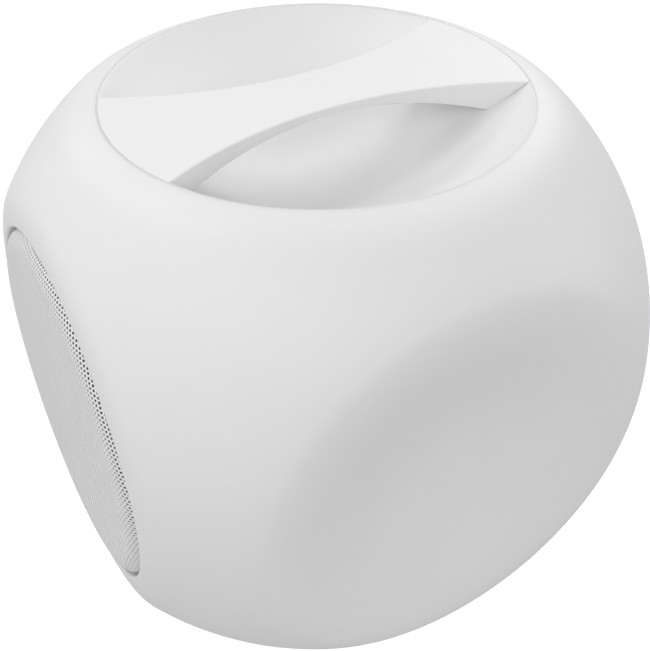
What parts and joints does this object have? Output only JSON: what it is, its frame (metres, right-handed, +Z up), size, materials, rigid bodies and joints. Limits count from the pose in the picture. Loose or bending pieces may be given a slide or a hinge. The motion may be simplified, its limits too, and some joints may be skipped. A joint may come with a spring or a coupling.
{
  "type": "shower speaker",
  "caption": "White rounded-cube loudspeaker with a carrying bar across a round bowl in the top, a perforated grille in front and a control panel behind",
  "frame": {"origin": "middle of the base of the object's box, on the plane the feet stand on", "axes": "+Z up, -Y out of the loudspeaker grille, +X to the right as seen from the front"},
  "size_m": [0.1858, 0.1874, 0.1832],
  "materials": {
    "body_white": "satin, faintly translucent",
    "handle_white": "satin",
    "grille_white": "powder coat",
    "black_cloth": "woven",
    "black_plastic": "fine texture",
    "soft_rubber": "matte",
    "white_rubber": "matte",
    "cone_paper": "coated paper",
    "spider_cloth": "impregnated cloth",
    "copper": "enamelled copper",
    "steel": "zinc plated",
    "ferrite": "sintered",
    "board_green": "solder mask",
    "board_white": "white solder mask",
    "cell_blue": "shrink sleeve",
    "clear_plastic": "frosted",
    "panel_grey": "fine texture",
    "lead_red": "cable sheath"
  },
  "bodies": {
    "cabinet": {"acoustic_scrim": "black_cloth", "aux_jack": "black_plastic", "baffle_gasket": "soft_rubber", "baffle_screw_1": "steel", "baffle_screw_2": "steel", "baffle_screw_3": "steel", "baffle_screw_4": "steel", "battery_cell_1": "cell_blue", "battery_cell_2": "cell_blue", "battery_holder": "black_plastic", "battery_lead": "lead_red", "body_shell": "body_white", "carry_handle": "handle_white", "control_board": "board_green", "control_panel": "panel_grey", "driver_basket": "steel", "driver_screw_1": "steel", "driver_screw_2": "steel", "driver_screw_3": "steel", "driver_screw_4": "steel", "electronics_housing": "black_plastic", "foot_1": "soft_rubber", "foot_2": "soft_rubber", "foot_3": "soft_rubber", "foot_4": "soft_rubber", "grille": "grille_white", "handle_cup": "body_white", "handle_screw_1": "steel", "handle_screw_2": "steel", "handle_screw_3": "steel", "handle_screw_4": "steel", "led_board": "board_white", "led_diffuser": "clear_plastic", "magnet": "ferrite", "main_board": "board_green", "panel_gasket": "soft_rubber", "panel_screw_1": "steel", "panel_screw_2": "steel", "panel_screw_3": "steel", "panel_screw_4": "steel", "speaker_baffle": "black_plastic", "speaker_chamber": "black_plastic", "speaker_lead": "black_plastic", "spider": "spider_cloth", "status_light_pipe": "clear_plastic", "surround": "soft_rubber", "top_plate": "steel", "usb_port": "steel", "yoke": "steel"},
    "power_button": {"power_button": "white_rubber"},
    "light_button": {"light_button": "white_rubber"},
    "volume_down_button": {"volume_down_button": "white_rubber"},
    "play_button": {"play_button": "white_rubber"},
    "volume_up_button": {"volume_up_button": "white_rubber"},
    "flap": {"port_flap": "white_rubber"},
    "cone": {"driver_cone": "cone_paper", "dust_cap": "cone_paper", "voice_coil": "copper"}
  },
  "joints": [
    {"name": "power_press", "type": "slide", "parent": "cabinet", "child": "power_button", "axis": [0, -1, 0], "range_m": [0, 0.001], "stiffness_N_per_m": 800, "springref_m": -0.0005},
    {"name": "light_press", "type": "slide", "parent": "cabinet", "child": "light_button", "axis": [0, -1, 0], "range_m": [0, 0.001], "stiffness_N_per_m": 800, "springref_m": -0.0005},
    {"name": "volume_down_press", "type": "slide", "parent": "cabinet", "child": "volume_down_button", "axis": [0, -1, 0], "range_m": [0, 0.001], "stiffness_N_per_m": 800, "springref_m": -0.0005},
    {"name": "play_press", "type": "slide", "parent": "cabinet", "child": "play_button", "axis": [0, -1, 0], "range_m": [0, 0.001], "stiffness_N_per_m": 800, "springref_m": -0.0005},
    {"name": "volume_up_press", "type": "slide", "parent": "cabinet", "child": "volume_up_button", "axis": [0, -1, 0], "range_m": [0, 0.001], "stiffness_N_per_m": 800, "springref_m": -0.0005},
    {"name": "flap_hinge", "type": "hinge", "parent": "cabinet", "child": "flap", "pos_m": [0, 0.08322, 0.0707], "axis": [-1, 0, 0], "range_deg": [0, 100], "stiffness_Nm_per_rad": 0.004, "springref_deg": -11.46},
    {"name": "cone_travel", "type": "slide", "parent": "cabinet", "child": "cone", "axis": [0, -1, 0], "range_m": [-0.0025, 0.0025], "stiffness_N_per_m": 1200, "deforming": ["surround", "spider"]}
  ]
}
